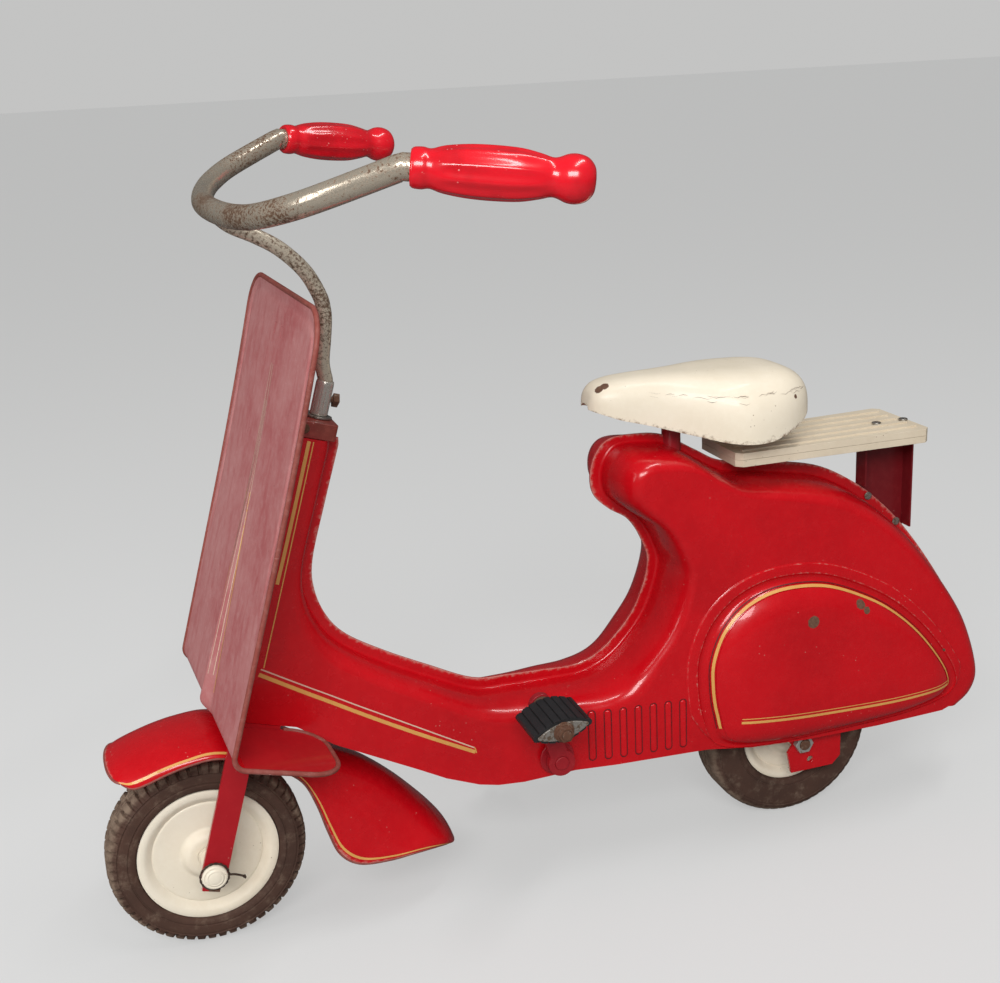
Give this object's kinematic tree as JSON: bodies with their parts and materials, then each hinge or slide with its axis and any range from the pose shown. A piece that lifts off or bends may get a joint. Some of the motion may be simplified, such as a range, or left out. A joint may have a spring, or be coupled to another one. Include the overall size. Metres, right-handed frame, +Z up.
{
  "type": "pedal scooter",
  "caption": "Child's pedal scooter: pressed half-shell body with legshield, raked fork, swept handlebar, pan saddle, pillion plate and a chain drive from pedal cranks to the rear wheel.",
  "frame": {"origin": "centre of the bounding box's footprint, on the floor under the tyres", "axes": "-X is forward, the way the scooter rides, +Y is the rider's right, the side of the chain, and +Z is up"},
  "size_m": [0.802, 0.5168, 0.634],
  "materials": {
    "red_enamel": "glossy, worn",
    "white_enamel": "satin, speckled with rust",
    "worn_chrome": "dulled, with rust specks",
    "bare_steel": "dull",
    "rusty_steel": "rusty, matte",
    "red_plastic": "glossy",
    "tyre_rubber": "dry, matte",
    "black_rubber": "matte"
  },
  "bodies": {
    "body": {"body_shell_left": "red_enamel", "body_shell_right": "red_enamel", "legshield": "red_enamel", "head_channel": "bare_steel", "head_cap": "red_enamel", "cap_screws": "rusty_steel", "upper_bush": "bare_steel", "lower_bush": "bare_steel", "drive_frame_left": "red_enamel", "drive_frame_right": "red_enamel", "seat_socket": "bare_steel", "seat_post": "bare_steel", "saddle_mount": "bare_steel", "saddle": "white_enamel", "pillion_base": "white_enamel", "pillion_top": "white_enamel", "pillion_bracket": "red_enamel", "pillion_screws": "bare_steel", "rear_axle": "bare_steel", "rear_axle_nuts": "bare_steel", "rear_spacers": "bare_steel", "crank_bearing_left": "red_enamel", "crank_bearing_right": "red_enamel", "chain_inner_links": "bare_steel", "chain_outer_links": "rusty_steel", "frame_bolts": "bare_steel"},
    "steering": {"fork": "red_enamel", "steering_column": "bare_steel", "clamp_collar": "worn_chrome", "clamp_bolt": "rusty_steel", "handlebar_stem": "worn_chrome", "handlebar": "worn_chrome", "grip_left": "red_plastic", "grip_right": "red_plastic", "front_mudguard": "red_enamel", "mudguard_bolts": "bare_steel", "front_axle": "bare_steel", "axle_caps": "white_enamel", "cotter_wires": "rusty_steel", "front_spacers": "bare_steel"},
    "front_wheel": {"front_tyre": "tyre_rubber", "front_rim": "white_enamel", "front_disc_left": "white_enamel", "front_disc_right": "white_enamel", "front_hub": "bare_steel"},
    "rear_wheel": {"rear_tyre": "tyre_rubber", "rear_disc_left": "white_enamel", "rear_disc_right": "white_enamel", "rear_hub": "bare_steel", "rear_sprocket": "rusty_steel"},
    "crank": {"crank_axle": "bare_steel", "crank_left": "red_enamel", "crank_right": "red_enamel", "chainwheel": "bare_steel", "pedal_spindles": "bare_steel", "pedal_nuts": "rusty_steel"},
    "pedal_left": {"pedal_rubber_left": "black_rubber", "pedal_frame_left": "bare_steel"},
    "pedal_right": {"pedal_rubber_right": "black_rubber", "pedal_frame_right": "bare_steel"}
  },
  "joints": [
    {"name": "steering_turn", "type": "hinge", "parent": "body", "child": "steering", "pos_m": [-0.30503, 0, 0.07512], "axis": [0.2924, 0, 0.9563], "range_deg": [-35, 35]},
    {"name": "front_wheel_spin", "type": "hinge", "parent": "steering", "child": "front_wheel", "pos_m": [-0.321, 0, 0.08], "axis": [0, 1, 0], "continuous": true},
    {"name": "rear_wheel_spin", "type": "hinge", "parent": "body", "child": "rear_wheel", "pos_m": [0.206, 0, 0.08], "axis": [0, 1, 0], "continuous": true, "deforming": ["chain_inner_links", "chain_outer_links"]},
    {"name": "crank_spin", "type": "hinge", "parent": "body", "child": "crank", "pos_m": [-0.03166, 0, 0.121], "axis": [0, 1, 0], "continuous": true},
    {"name": "pedal_left_spin", "type": "hinge", "parent": "crank", "child": "pedal_left", "pos_m": [-0.04764, -0.088, 0.17675], "axis": [0, 1, 0], "continuous": true},
    {"name": "pedal_right_spin", "type": "hinge", "parent": "crank", "child": "pedal_right", "pos_m": [-0.01567, 0.088, 0.06525], "axis": [0, 1, 0], "continuous": true}
  ],
  "couplings": [
    {"joint": "crank_spin", "follows": "rear_wheel_spin", "ratio": 0.75}
  ]
}
